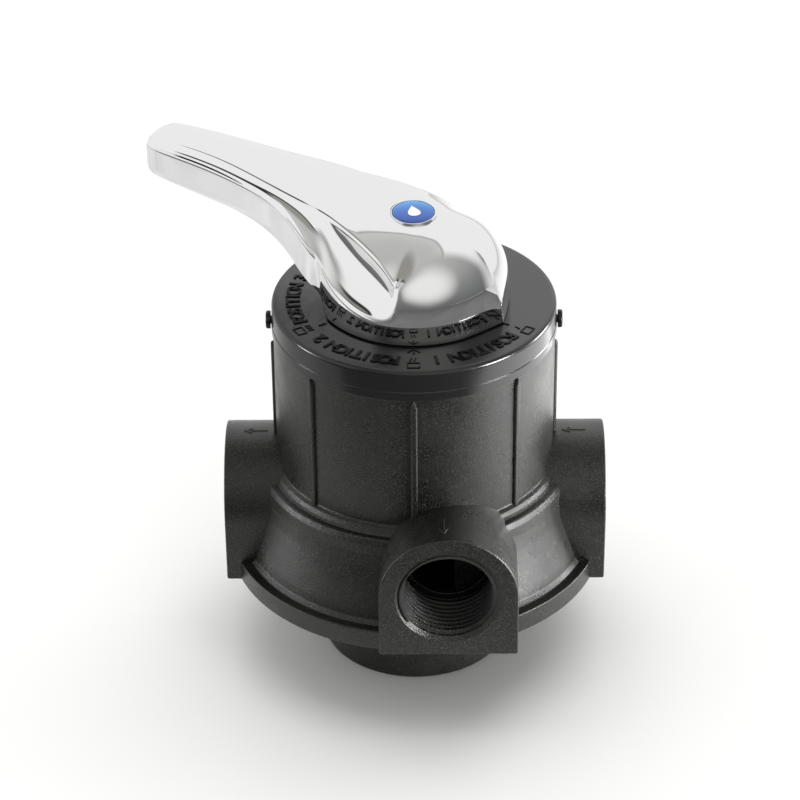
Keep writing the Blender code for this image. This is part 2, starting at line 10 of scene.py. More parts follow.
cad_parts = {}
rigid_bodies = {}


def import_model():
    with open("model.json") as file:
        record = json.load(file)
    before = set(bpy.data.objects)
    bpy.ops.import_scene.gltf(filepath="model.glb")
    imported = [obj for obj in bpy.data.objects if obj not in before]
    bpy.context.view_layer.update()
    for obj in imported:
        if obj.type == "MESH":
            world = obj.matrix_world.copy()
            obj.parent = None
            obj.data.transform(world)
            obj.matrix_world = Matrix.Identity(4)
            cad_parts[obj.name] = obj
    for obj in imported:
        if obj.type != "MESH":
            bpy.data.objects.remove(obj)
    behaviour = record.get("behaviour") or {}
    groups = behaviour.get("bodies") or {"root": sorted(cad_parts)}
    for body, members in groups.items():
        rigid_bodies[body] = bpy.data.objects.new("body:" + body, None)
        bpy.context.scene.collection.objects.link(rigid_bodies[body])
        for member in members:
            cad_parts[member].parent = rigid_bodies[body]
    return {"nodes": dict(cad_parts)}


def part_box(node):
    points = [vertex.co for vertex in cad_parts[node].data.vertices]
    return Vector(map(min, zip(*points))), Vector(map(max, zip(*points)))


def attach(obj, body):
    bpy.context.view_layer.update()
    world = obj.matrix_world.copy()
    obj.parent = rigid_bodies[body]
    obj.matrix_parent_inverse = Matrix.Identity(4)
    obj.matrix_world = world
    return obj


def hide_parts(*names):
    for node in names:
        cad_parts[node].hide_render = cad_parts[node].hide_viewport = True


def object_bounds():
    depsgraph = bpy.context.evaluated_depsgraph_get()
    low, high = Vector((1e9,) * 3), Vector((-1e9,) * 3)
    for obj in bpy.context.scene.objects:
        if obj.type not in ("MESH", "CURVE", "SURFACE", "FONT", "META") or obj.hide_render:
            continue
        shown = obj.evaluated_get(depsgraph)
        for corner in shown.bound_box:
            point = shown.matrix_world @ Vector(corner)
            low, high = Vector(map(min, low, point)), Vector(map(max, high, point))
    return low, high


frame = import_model()
cad_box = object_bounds()

# ---------------------------------------------------------------- sizes, from the frame
BODY_LOW, BODY_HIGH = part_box("valve_body")
CAP_LOW, CAP_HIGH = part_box("cap")
CAP_TOP = CAP_HIGH.z
CAP_R = CAP_HIGH.x
BODY_TOP = BODY_HIGH.z
SIDE_REACH = BODY_HIGH.x
FRONT_REACH = -BODY_LOW.y
FRONT_SHIFT = 0.01165

# ---------------------------------------------------------------- sizes shared with the CAD part
PORT_AXIS_Z = 0.0622
PORT_BOSS_R = 0.0244
PORT_MOUTH_R = 0.0187
THREAD_ROOT_R = 0.0171
THREAD_CREST_R = 0.0157
THREAD_PITCH = 0.00231
THREAD_DEPTH = 0.0225
PASSAGE_R = 0.0143
PASSAGE_END = 0.0270
BODY_R = 0.0500
FLANGE_R = 0.0680
FLANGE_BOTTOM = PORT_AXIS_Z - PORT_BOSS_R
NECK_R = 0.0343
NECK_ROOT_R = 0.0349
NECK_THREAD_R = 0.0363
NECK_PITCH = 0.003175
CHAMBER_R = 0.0430
CHAMBER_FLOOR = 0.0920
DUCT_ROOF = 0.0865
DUCT_FLOOR = 0.0460
FLOW_HOLE_R = 0.0078
FLOW_CIRCLE_R = 0.0300
OVERLAP = 0.001
HANDLE_R = 0.0340
HANDLE_FOOT = 0.0005
HANDLE_RIM = 0.0085
DOME_RISE = 0.0263
REST_ANGLE = 150.0
MARK_ANGLES = (-30.0, -90.0, -150.0)
MARK_BASE = CAP_TOP - 0.0003
MARK_TOP = CAP_TOP + 0.0003
LOCK_SCREW_Z = 0.1336
DRIVE_HALF = 0.0100
DRIVE_TOP = 0.1570
DRIVE_GAP = 0.0003
STEM_ROOM_R = 0.0175
STEM_ROOM_TOP = DRIVE_TOP - 0.0136
SCREW_SEAT = DRIVE_TOP + 0.0040
BADGE_R = 0.0080
BADGE_SEAT = CAP_TOP + 0.0330
BADGE_TILT = 3.0


# ---------------------------------------------------------------- mesh helpers
def add_piece(name, mesh, body, slot, material, *replaced):
    """A piece that rides on a body, takes its finish from a material and stands for some CAD nodes,
    which it hides. Its slot is not used.
    """
    obj = bpy.data.objects.new(name, mesh)
    bpy.context.scene.collection.objects.link(obj)
    obj.data.materials.clear()
    obj.data.materials.append(material)
    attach(obj, body)
    if replaced:
        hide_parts(*replaced)
    return obj


def finish_mesh(bm, name):
    """A mesh made from a bmesh, which is freed."""
    bmesh.ops.recalc_face_normals(bm, faces=bm.faces)
    mesh = bpy.data.meshes.new(name)
    bm.to_mesh(mesh)
    bm.free()
    return mesh


def on_circle(radius, degrees):
    angle = math.radians(degrees)
    return radius * math.cos(angle), radius * math.sin(angle)


def rounded(corners, closed=True, steps=4):
    """An outline with each corner (x, y, radius) replaced by a curve of about that radius."""
    most_of_a_side = 0.49
    count = len(corners)
    result = []
    for index, (x, y, radius) in enumerate(corners):
        here = Vector((x, y))
        ends_here = not closed and index in (0, count - 1)
        if radius <= 0.0 or ends_here:
            result.append((x, y))
            continue
        before = Vector(corners[index - 1][:2]) - here
        after = Vector(corners[(index + 1) % count][:2]) - here
        half = before.angle(after) / 2
        reach = min(radius / math.tan(half), most_of_a_side * before.length,
                    most_of_a_side * after.length)
        start = here + before.normalized() * reach
        end = here + after.normalized() * reach
        for step in range(steps + 1):
            t = step / steps
            point = start * (1 - t) ** 2 + here * 2 * t * (1 - t) + end * t ** 2
            result.append((point.x, point.y))
    return result


def lathe(profile, steps, closed=False):
    """A bmesh of a (radius, height) profile turned about Z. Points on the axis are shared."""
    on_axis = 1e-7
    bm = bmesh.new()
    rings = []
    for radius, height in profile:
        if radius < on_axis:
            rings.append([bm.verts.new((0.0, 0.0, height))] * steps)
            continue
        rings.append([bm.verts.new((*on_circle(radius, 360.0 * i / steps), height))
                      for i in range(steps)])
    pairs = list(zip(rings, rings[1:]))
    if closed:
        pairs.append((rings[-1], rings[0]))
    for upper, lower in pairs:
        for i in range(steps):
            j = (i + 1) % steps
            corners = [upper[i], upper[j], lower[j], lower[i]]
            unique = [v for k, v in enumerate(corners) if v is not corners[k - 1]]
            if len(unique) > 2:
                bm.faces.new(unique)
    return bm


def stack(outlines):
    """A bmesh of closed outlines of 3-D points joined in order, with both ends filled."""
    bm = bmesh.new()
    rings = [[bm.verts.new(point) for point in outline] for outline in outlines]
    for lower, upper in zip(rings, rings[1:]):
        for i in range(len(lower)):
            j = (i + 1) % len(lower)
            bm.faces.new((lower[i], lower[j], upper[j], upper[i]))
    bm.faces.new(rings[0])
    bm.faces.new(rings[-1])
    return bm


def helix_ridge(root, crest, pitch, low, high, per_turn=48):
    """A screw thread's ridge between two heights, sunk a little into its wall, with faded ends."""
    lead_in = 0.35
    least_height = 0.02
    foot_half, crest_half = 0.42, 0.09
    sunk = root + (0.0002 if crest < root else -0.0002)
    turns = (high - low) / pitch
    count = int(turns * per_turn)
    outlines = []
    for i in range(count + 1):
        turn = i / per_turn
        fade = min(1.0, turn / lead_in, (turns - turn) / lead_in)
        peak = sunk + (crest - sunk) * max(least_height, fade)
        x, y = on_circle(1.0, 360.0 * turn)
        z = low + pitch * turn
        section = [(sunk, -foot_half), (peak, -crest_half), (peak, crest_half), (sunk, foot_half)]
        outlines.append([(r * x, r * y, z + dz * pitch) for r, dz in section])
    return stack(outlines)


def cutter(name, bm, place=None):
    """A hidden helper mesh for a Boolean."""
    mesh = finish_mesh(bm, name)
    if place is not None:
        mesh.transform(place)
    obj = bpy.data.objects.new(name, mesh)
    bpy.context.scene.collection.objects.link(obj)
    return obj


def apply_booleans(obj, operations):
    """Joins or cuts helpers one after another, then removes them."""
    for helper, operation in operations:
        boolean = obj.modifiers.new(helper.name, "BOOLEAN")
        boolean.operation = operation
        boolean.object = helper
        boolean.solver = "EXACT"
    bake_modifiers(obj)
    for helper, _ in operations:
        bpy.data.objects.remove(helper, do_unlink=True)


def bake_modifiers(obj):
    """Replaces an object's mesh with what its modifiers make of it."""
    graph = bpy.context.evaluated_depsgraph_get()
    mesh = bpy.data.meshes.new_from_object(obj.evaluated_get(graph))
    obj.modifiers.clear()
    old = obj.data
    obj.data = mesh
    bpy.data.meshes.remove(old)


def smooth(obj, degrees=38.0):
    """Smooth shading with sharp edges kept, and large faces leading their corners' normals."""
    obj.data.shade_smooth()
    obj.data.set_sharp_from_angle(angle=math.radians(degrees))
    weighted = obj.modifiers.new("weighted normals", "WEIGHTED_NORMAL")
    weighted.keep_sharp = True
    weighted.weight = 80


def rotation(degrees, axis):
    return Matrix.Rotation(math.radians(degrees), 4, axis)


# ---------------------------------------------------------------- materials
# Noise scales are in cycles per metre, and bump distances in metres.
def new_material(name, colour, roughness, metallic=0.0, specular=0.5):
    material = bpy.data.materials.new(name)
    material.use_nodes = True
    tree = material.node_tree
    shader = tree.nodes["Principled BSDF"]
    shader.inputs["Base Color"].default_value = (*colour, 1.0)
    shader.inputs["Roughness"].default_value = roughness
    shader.inputs["Metallic"].default_value = metallic
    shader.inputs["Specular IOR Level"].default_value = specular
    return material, tree, shader


def noise(tree, scale, detail=2.0, roughness=0.5, stretch=None):
    coordinates = tree.nodes.new("ShaderNodeTexCoord")
    texture = tree.nodes.new("ShaderNodeTexNoise")
    texture.inputs["Scale"].default_value = scale
    texture.inputs["Detail"].default_value = detail
    texture.inputs["Roughness"].default_value = roughness
    source = coordinates.outputs["Object"]
    if stretch:
        mapping = tree.nodes.new("ShaderNodeMapping")
        mapping.inputs["Scale"].default_value = stretch
        tree.links.new(source, mapping.inputs["Vector"])
        source = mapping.outputs["Vector"]
    tree.links.new(source, texture.inputs["Vector"])
    return texture.outputs["Fac"]


def mapped(tree, value, low, high, start=0.3, end=0.7):
    """A value spread from one range of a texture to a range of a shader setting."""
    node = tree.nodes.new("ShaderNodeMapRange")
    node.inputs["From Min"].default_value = start
    node.inputs["From Max"].default_value = end
    node.inputs["To Min"].default_value = low
    node.inputs["To Max"].default_value = high
    tree.links.new(value, node.inputs["Value"])
    return node.outputs["Result"]


def ramp(tree, value, stops):
    node = tree.nodes.new("ShaderNodeValToRGB")
    elements = node.color_ramp.elements
    while len(elements) < len(stops):
        elements.new(0.5)
    for element, (position, colour) in zip(elements, stops):
        element.position = position
        element.color = (*colour, 1.0)
    tree.links.new(value, node.inputs["Fac"])
    return node.outputs["Color"]


def add_bump(tree, shader, height, distance, strength=1.0):
    bump = tree.nodes.new("ShaderNodeBump")
    bump.inputs["Distance"].default_value = distance
    bump.inputs["Strength"].default_value = strength
    tree.links.new(height, bump.inputs["Height"])
    before = shader.inputs["Normal"].links
    if before:
        tree.links.new(before[0].from_socket, bump.inputs["Normal"])
    tree.links.new(bump.outputs["Normal"], shader.inputs["Normal"])


def glass_filled_plastic(name, dark, light, smooth_level, rough_level, grain, specular=0.5):
    """Black moulded plastic with fine fibre speckle, cloudy gloss and a slight surface wave."""
    speckle_share = 0.35
    material, tree, shader = new_material(name, dark, rough_level, specular=specular)
    speckle = noise(tree, 2600.0, 3.0, 0.65)
    clouds = noise(tree, 60.0, 4.0, 0.6)
    tree.links.new(ramp(tree, speckle, [(0.35, dark), (0.54, dark), (0.70, light)]),
                   shader.inputs["Base Color"])
    mixed = tree.nodes.new("ShaderNodeMath")
    mixed.operation = "MULTIPLY_ADD"
    mixed.inputs[1].default_value = speckle_share
    tree.links.new(speckle, mixed.inputs[0])
    tree.links.new(clouds, mixed.inputs[2])
    tree.links.new(mapped(tree, mixed.outputs[0], smooth_level, rough_level, 0.45, 0.9),
                   shader.inputs["Roughness"])
    add_bump(tree, shader, noise(tree, 2200.0, 3.0, 0.6), grain)
    add_bump(tree, shader, noise(tree, 130.0, 2.0, 0.5), grain, 0.5)
    return material


def polished_metal(name, colour, low, high, swirl=0.000002):
    """Plated or blackened metal with faint smears and a very slight wave."""
    material, tree, shader = new_material(name, colour, low, 1.0)
    smears = noise(tree, 45.0, 5.0, 0.65)
    tree.links.new(mapped(tree, smears, low, high, 0.35, 0.75), shader.inputs["Roughness"])
    add_bump(tree, shader, noise(tree, 35.0, 2.0, 0.4), swirl)
    return material


def turned_metal(name, colour, low, high):
    """Machined metal with fine lines round its axis."""
    material, tree, shader = new_material(name, colour, low, 1.0)
    lines = noise(tree, 700.0, 3.0, 0.6, (0.1, 0.1, 6.0))
    tree.links.new(mapped(tree, lines, low, high), shader.inputs["Roughness"])
    tree.links.new(ramp(tree, lines, [(0.3, tuple(c * 0.8 for c in colour)), (0.7, colour)]),
                   shader.inputs["Base Color"])
    add_bump(tree, shader, lines, 0.00002)
    return material


def soft_rubber(name):
    """Black moulded rubber with a trace of dust."""
    material, tree, shader = new_material(name, (0.014, 0.014, 0.015), 0.55)
    dust = noise(tree, 400.0, 4.0, 0.6)
    tree.links.new(ramp(tree, dust, [(0.4, (0.012, 0.012, 0.013)), (0.75, (0.035, 0.035, 0.036))]),
                   shader.inputs["Base Color"])
    tree.links.new(mapped(tree, dust, 0.42, 0.62), shader.inputs["Roughness"])
    add_bump(tree, shader, noise(tree, 1500.0), 0.00002)
    return material


def lapped_ceramic(name):
    """Off-white alumina, lapped smooth."""
    material, tree, shader = new_material(name, (0.78, 0.76, 0.72), 0.18)
    grain = noise(tree, 900.0, 3.0, 0.55)
    tree.links.new(ramp(tree, grain, [(0.3, (0.70, 0.68, 0.64)), (0.7, (0.80, 0.78, 0.75))]),
                   shader.inputs["Base Color"])
    tree.links.new(mapped(tree, grain, 0.12, 0.28), shader.inputs["Roughness"])
    add_bump(tree, shader, grain, 0.000008)
    return material


def moulded_plastic(name, colour):
    """Plain unfilled plastic with cloudy colour and gloss."""
    material, tree, shader = new_material(name, colour, 0.38)
    clouds = noise(tree, 250.0, 3.0, 0.6)
    tree.links.new(ramp(tree, clouds, [(0.3, tuple(c * 0.88 for c in colour)), (0.7, colour)]),
                   shader.inputs["Base Color"])
    tree.links.new(mapped(tree, clouds, 0.3, 0.48), shader.inputs["Roughness"])
    add_bump(tree, shader, noise(tree, 1200.0), 0.00003)
    return material


BODY_PLASTIC = glass_filled_plastic("body_plastic", (0.003, 0.003, 0.0027), (0.060, 0.059, 0.052),
                                    0.18, 0.42, grain=0.00014)
CAP_PLASTIC = glass_filled_plastic("cap_plastic", (0.005, 0.005, 0.005), (0.012, 0.012, 0.012),
                                   0.16, 0.26, grain=0.00001)
MARK_PLASTIC = glass_filled_plastic("mark_plastic", (0.002, 0.002, 0.002), (0.004, 0.004, 0.004),
                                    0.10, 0.20, grain=0.00001, specular=0.12)
CHROME = polished_metal("chrome", (0.89, 0.89, 0.90), 0.02, 0.05)
BLACK_STEEL = polished_metal("black_steel", (0.035, 0.035, 0.036), 0.22, 0.38, 0.00001)
STEEL = turned_metal("steel", (0.62, 0.62, 0.63), 0.22, 0.38)
BRASS = turned_metal("brass", (0.74, 0.54, 0.24), 0.22, 0.38)
RUBBER = soft_rubber("rubber")
CERAMIC = lapped_ceramic("ceramic")
WHITE_PLASTIC = moulded_plastic("white_plastic", (0.80, 0.80, 0.77))
GREY_PLASTIC = moulded_plastic("grey_plastic", (0.11, 0.11, 0.115))


def badge_enamel():
    """Blue resin with a painted highlight and shade: lighter towards its top (+Y) side and darker
    towards its front rim.
    """
    material, tree, shader = new_material("badge_enamel", (0.03, 0.14, 0.42), 0.10)
    coordinates = tree.nodes.new("ShaderNodeTexCoord")
    split = tree.nodes.new("ShaderNodeSeparateXYZ")
    tree.links.new(coordinates.outputs["Object"], split.inputs["Vector"])
    # Painted highlight and shade across the dome: dark blue at the front (-Y) rising to light cyan
    # at the back (+Y).
    shade = mapped(tree, split.outputs["Y"], 0.0, 1.0, -BADGE_R, BADGE_R)
    tree.links.new(ramp(tree, shade, [(0.0, (0.020, 0.045, 0.26)), (0.5, (0.015, 0.12, 0.46)),
                                      (1.0, (0.02, 0.30, 0.66))]), shader.inputs["Base Color"])
    shader.inputs["Coat Weight"].default_value = 0.6
    tree.links.new(mapped(tree, noise(tree, 500.0), 0.08, 0.16), shader.inputs["Roughness"])
    add_bump(tree, shader, noise(tree, 150.0), 0.00001)
    return material


BADGE_BLUE = badge_enamel()
BADGE_WHITE = moulded_plastic("badge_white", (0.88, 0.89, 0.90))


# ---------------------------------------------------------------- valve body
def port_stand(reach, heading, shift):
    """The place of a port's mouth, with +X straight out of it."""
    return rotation(heading, "Z") @ Matrix.Translation((reach, shift, PORT_AXIS_Z))


PORTS = {
    "right": port_stand(SIDE_REACH, 0, 0.0),
    "left": port_stand(SIDE_REACH, 180, 0.0),
    "front": port_stand(FRONT_REACH, -90, FRONT_SHIFT),
}


def boss(reach):
    """A port boss: round above its axis and square-cornered below, with a softened mouth."""
    steps = 40
    corner = 0.0007
    length = reach - 0.034

    def outline(inset):
        radius = PORT_BOSS_R - inset
        arc = [(*on_circle(radius, 180.0 * i / steps), 0.0) for i in range(steps + 1)]
        square = [(-radius, -radius, corner), (radius, -radius, corner)]
        return rounded(arc + square, steps=3)

    depths = [(length, 0.0), (0.0006, 0.0), (0.00025, 0.00012), (0.00008, 0.0003), (0.0, 0.0006)]
    return stack([[(-depth, x, y) for x, y in outline(inset)] for depth, inset in depths])


def port_bore():
    """The space inside a port: a 45 degree mouth, the thread's root and a narrower passage."""
    proud = 0.0020
    profile = rounded([
        (0.0, proud, 0.0),
        (PORT_MOUTH_R + proud, proud, 0.0),
        (PORT_MOUTH_R, 0.0, 0.0002),
        (THREAD_ROOT_R, -0.0012, 0.0003),
        (THREAD_ROOT_R, -THREAD_DEPTH, 0.0004),
        (PASSAGE_R, -THREAD_DEPTH, 0.0004),
        (PASSAGE_R, -PASSAGE_END, 0.0),
        (0.0, -PASSAGE_END, 0.0),
    ], closed=False)
    return lathe(profile, 72)


def duct(heading):
    """A quarter of the ring-shaped space under the chamber's floor."""
    outer, inner = 0.0450, 0.0190
    half_angle = 39.0
    steps = 16
    angles = [heading + half_angle * (2.0 * i / steps - 1.0) for i in range(steps + 1)]
    outline = [on_circle(outer, angle) for angle in angles]
    outline += [on_circle(inner, angle) for angle in reversed(angles)]
    return stack([[(x, y, z) for x, y in outline] for z in (DUCT_FLOOR, DUCT_ROOF)])


def rib(heading, top):
    """A raised line up the body: flat-topped with softened sides, and pointed at the top."""
    low = 0.0755
    half = 0.00125
    point = 0.0032

    def outline(inset):
        side = half - inset
        shoulder = top - point
        peak = top - inset * 1.5
        return [(-side, low), (side, low), (side, shoulder), (0.0, peak), (-side, shoulder)]

    levels = [(-0.0012, 0.0), (0.0003, 0.0), (0.0009, 0.0003), (0.0011, 0.0007)]
    bm = stack([[(BODY_R + rise, x, z) for x, z in outline(inset)] for rise, inset in levels])
    bm.transform(rotation(heading, "Z"))
    return bm


def round_hole(radius, x, y, low, high):
    """A plain upright cylinder to cut a hole with."""
    bm = lathe([(0.0, high), (radius, high), (radius, low), (0.0, low)], 40)
    bm.transform(Matrix.Translation((x, y, 0.0)))
    return bm


def make_body():
    """The body's wall as one turned profile, with bosses and ribs joined on and passages cut."""
    wall = rounded([
        (BODY_R, BODY_TOP, 0.0003),
        (BODY_R, 0.0790, 0.0010),
        (0.0515, 0.0782, 0.0006),
        (0.0524, 0.0768, 0.0004),
        (0.0532, 0.0761, 0.0003),
        (0.0553, 0.0760, 0.0010),
        (0.0562, 0.0738, 0.0015),
        (0.0566, 0.0700, 0.0060),
        (0.0576, 0.0648, 0.0090),
        (0.0591, 0.0595, 0.0090),
        (0.0608, 0.0540, 0.0090),
        (0.0621, 0.0498, 0.0060),
        (0.0629, 0.0468, 0.0012),
        (0.0643, 0.0452, 0.0008),
        (FLANGE_R - 0.0001, 0.0456, 0.0005),
        (FLANGE_R, FLANGE_BOTTOM, 0.0007),
        (NECK_ROOT_R, FLANGE_BOTTOM, 0.0004),
        (NECK_ROOT_R, 0.0140, 0.0003),
        (NECK_R, 0.0128, 0.0003),
        (NECK_R, 0.0, 0.0010),
        (0.0300, 0.0, 0.0005),
        (0.0300, 0.0400, 0.0012),
        (0.0190, 0.0400, 0.0012),
        (0.0190, 0.0040, 0.0005),
        (0.0162, 0.0040, 0.0003),
        (0.0162, 0.0130, 0.0002),
        (0.0135, 0.0130, 0.0002),
        (0.0135, 0.0720, 0.0005),
        (0.0090, 0.0720, 0.0005),
        (0.0090, CHAMBER_FLOOR, 0.0004),
        (CHAMBER_R, CHAMBER_FLOOR, 0.0006),
        (CHAMBER_R, BODY_TOP, 0.0003),
    ])
    steps = 144
    plain_top, port_side_top = 0.1313, 0.1250
    shell = lathe(wall, steps, closed=True)
    shell.transform(rotation(180 / steps, "Z"))
    body = add_piece("body_shell", finish_mesh(shell, "body_shell"), "valve", "black_plastic",
                     BODY_PLASTIC, "valve_body")
    work = []
    for name, stand in PORTS.items():
        reach = FRONT_REACH if name == "front" else SIDE_REACH
        work.append((cutter(name + "_boss", boss(reach), stand), "UNION"))
    for heading in range(0, 360, 45):
        top = port_side_top if heading % 180 == 0 else plain_top
        work.append((cutter(f"rib_{heading}", rib(heading, top)), "UNION"))
    for name, stand in PORTS.items():
        work.append((cutter(name + "_bore", port_bore(), stand @ rotation(90, "Y")), "DIFFERENCE"))
    for heading in (0, 90, 180, 270):
        work.append((cutter(f"duct_{heading}", duct(heading)), "DIFFERENCE"))
        x, y = on_circle(FLOW_CIRCLE_R, heading)
        hole = round_hole(FLOW_HOLE_R, x, y, DUCT_ROOF - OVERLAP, CHAMBER_FLOOR + OVERLAP)
        work.append((cutter(f"flow_{heading}", hole), "DIFFERENCE"))
    tank_hole = round_hole(FLOW_HOLE_R, 0.0, 0.0245, 0.0400 - OVERLAP, DUCT_FLOOR + OVERLAP)
    work.append((cutter("tank_duct", tank_hole), "DIFFERENCE"))
    apply_booleans(body, work)
    smooth(body)


def make_threads():
    """Helical ridges in the three ports and round the neck, as pieces of their own."""
    for name, stand in PORTS.items():
        ridge = helix_ridge(THREAD_ROOT_R, THREAD_CREST_R, THREAD_PITCH, -0.0215, -0.0010)
        ridge.transform(stand @ rotation(90, "Y"))
        thread = add_piece(name + "_port_thread", finish_mesh(ridge, "thread"), "valve",
                           "black_plastic", BODY_PLASTIC)
        smooth(thread, 50.0)
    ridge = helix_ridge(NECK_ROOT_R, NECK_THREAD_R, NECK_PITCH, 0.0150, 0.0360, per_turn=96)
    thread = add_piece("neck_thread", finish_mesh(ridge, "thread"), "valve", "black_plastic",
                       BODY_PLASTIC)
    smooth(thread, 50.0)


def bar(start, end, width, low, high):
    """A raised stroke between two plan points, with softened top edges."""
    softening = 0.00008
    start, end = Vector(start), Vector(end)
    along = (end - start).normalized()
    across = Vector((-along.y, along.x))

    def outline(shrink, z):
        side = across * (width / 2 - shrink)
        near, far = start + along * shrink, end - along * shrink
        return [(*(near + side), z), (*(near - side), z), (*(far - side), z), (*(far + side), z)]

    return stack([outline(0.0, low), outline(0.0, high - softening), outline(softening, high)])


def merged(parts):
    """One bmesh of several, which are freed."""
    bm = bmesh.new()
    for part in parts:
        mesh = finish_mesh(part, "stroke")
        bm.from_mesh(mesh)
        bpy.data.meshes.remove(mesh)
    return bm


def make_flow_arrows():
    """Raised arrows on top of the bosses: out of the left and front ports, into the right one."""
    boss_top = PORT_AXIS_Z + PORT_BOSS_R
    width, low, high = 0.0006, boss_top - 0.0008, boss_top + 0.00025
    tail, neck, point, barb = (-0.0042, 0.0), (0.0036, 0.0), (0.0042, 0.0), 0.0014
    places = {"left": (-0.0575, 0.0, 180), "right": (0.0575, 0.0, 180),
              "front": (0.0100, -0.0610, -90)}
    for name, (x, y, heading) in places.items():
        strokes = [bar(tail, neck, width, low, high)]
        strokes += [bar(point, (barb, side), width, low, high) for side in (barb, -barb)]
        arrow = merged(strokes)
        arrow.transform(Matrix.Translation((x, y, 0.0)) @ rotation(heading, "Z"))
        smooth(add_piece(name + "_flow_arrow", finish_mesh(arrow, "arrow"), "valve",
                         "black_plastic", BODY_PLASTIC))


# ---------------------------------------------------------------- cap, its marks and screws
def make_cap():
    """The screw-on cap, with a fine line round it, a bush seat and a stem opening."""
    wall = rounded([
        (0.0194, CAP_TOP, 0.0003),
        (CAP_R, CAP_TOP, 0.0018),
        (CAP_R, 0.1346, 0.0002),
        (CAP_R + 0.0002, 0.1343, 0.0002),
        (CAP_R + 0.0002, CAP_LOW.z + 0.0140, 0.0002),
        (0.0426, 0.1338, 0.0003),
        (0.0426, 0.1198, 0.0003),
        (0.0365, 0.1198, 0.0003),
        (0.0365, 0.1368, 0.0006),
        (0.0275, 0.1368, 0.0006),
        (0.0275, 0.1171, 0.0003),
        (0.0176, 0.1171, 0.0003),
        (0.0176, 0.1340, 0.0002),
        (0.0194, 0.1340, 0.0002),
    ], steps=6)
    cap = add_piece("cap_shell", finish_mesh(lathe(wall, 192, closed=True), "cap_shell"), "valve",
                    "cap_plastic", CAP_PLASTIC, "cap")
    smooth(cap)


def letter_mesh(character, height):
    """One raised letter as a mesh, upright, centred on its own width."""
    capital_share = 0.72
    curve = bpy.data.curves.new("letter", "FONT")
    curve.body = character
    curve.size = height / capital_share
    curve.align_x = "CENTER"
    curve.offset = 0.00013
    curve.extrude = 0.00034
    curve.bevel_depth = 0.00008
    curve.resolution_u = 6
    obj = bpy.data.objects.new("letter", curve)
    bpy.context.scene.collection.objects.link(obj)
    bpy.context.view_layer.update()
    mesh = bpy.data.meshes.new_from_object(obj.evaluated_get(bpy.context.evaluated_depsgraph_get()))
    bpy.data.objects.remove(obj, do_unlink=True)
    bm = bmesh.new()
    bm.from_mesh(mesh)
    bpy.data.meshes.remove(mesh)
    bmesh.ops.remove_doubles(bm, verts=bm.verts, dist=1e-6)
    return bm


def curved_word(word, start, radius, pitch, height):
    """Letters round the dial, feet towards the axis, read clockwise from a start angle."""
    letters = []
    step = math.degrees(pitch / radius)
    for index, character in enumerate(word):
        if character == " ":
            continue
        bm = letter_mesh(character, height)
        angle = start - step * index
        x, y = on_circle(radius, angle)
        bm.transform(Matrix.Translation((x, y, CAP_TOP)) @ rotation(angle - 90, "Z"))
        letters.append(bm)
    return letters


def tank_symbol(angle, strokes):
    """A plain upright box with a few strokes under it, beyond a mark."""
    width, spacing, symbol_circle = 0.0005, 0.0015, 0.0430
    corners = [(-0.0021, 0.0008), (0.0021, 0.0008), (0.0021, 0.0040), (-0.0021, 0.0040)]
    parts = [bar(corners[i], corners[(i + 1) % 4], width, MARK_BASE, MARK_TOP) for i in range(4)]
    for i in range(strokes):
        x = (i - (strokes - 1) / 2) * spacing
        parts.append(bar((x, -0.0024), (x + 0.0005, -0.0004), width, MARK_BASE, MARK_TOP))
    x, y = on_circle(symbol_circle, angle)
    for part in parts:
        part.transform(Matrix.Translation((x, y, 0.0)) @ rotation(angle - 90, "Z"))
    return parts


def make_dial():
    """Three marks 60 degrees apart, each with a symbol and a numbered word."""
    strokes = []
    for index, angle in enumerate(MARK_ANGLES):
        strokes.append(bar(on_circle(0.0350, angle), on_circle(0.0382, angle), 0.0007, MARK_BASE,
                           MARK_TOP))
        strokes += tank_symbol(angle, index + 1)
        strokes += curved_word(f"POSITION {index + 1}", angle - 8.5, 0.0403, 0.0032, 0.0050)
    front = MARK_ANGLES[1]
    for side in (-1, 1):
        tip = on_circle(0.0348, front)
        foot = on_circle(0.0372, front + side * 3.2)
        strokes.append(bar(tip, foot, 0.0005, MARK_BASE, MARK_TOP))
    dial = add_piece("dial_marks", finish_mesh(merged(strokes), "dial_marks"), "valve",
                     "cap_plastic", MARK_PLASTIC)
    smooth(dial)


def make_lock_screws():
    """Two round-headed screws with a cross recess, on the joint between the cap and the body."""
    seat = CAP_R + 0.0005
    head_top, head_r = seat + 0.0017, 0.00325
    shank_r, shank_end = 0.0015, 0.0440
    profile = rounded([(0.0, head_top, 0.0), (head_r, head_top, 0.0009), (head_r, seat, 0.0002),
                       (shank_r, seat, 0.0001), (shank_r, shank_end, 0.0), (0.0, shank_end, 0.0)],
                      closed=False)
    arm, width, recess, above = 0.0019, 0.0007, seat + 0.0007, seat + 0.0025
    for side, sign in (("left", -1), ("right", 1)):
        place = Matrix.Translation((0, 0, LOCK_SCREW_Z)) @ rotation(90 * sign, "Y")
        screw = add_piece(f"lock_screw_{side}_head", finish_mesh(lathe(profile, 48), "screw"),
                          "valve", "black_screw", BLACK_STEEL, f"lock_screw_{side}")
        work = []
        for turn in (0, 90):
            slot = bar(on_circle(arm, turn), on_circle(arm, turn + 180), width, recess, above)
            work.append((cutter(f"slot_{turn}", slot), "DIFFERENCE"))
        apply_booleans(screw, work)
        screw.data.transform(place)
        smooth(screw)


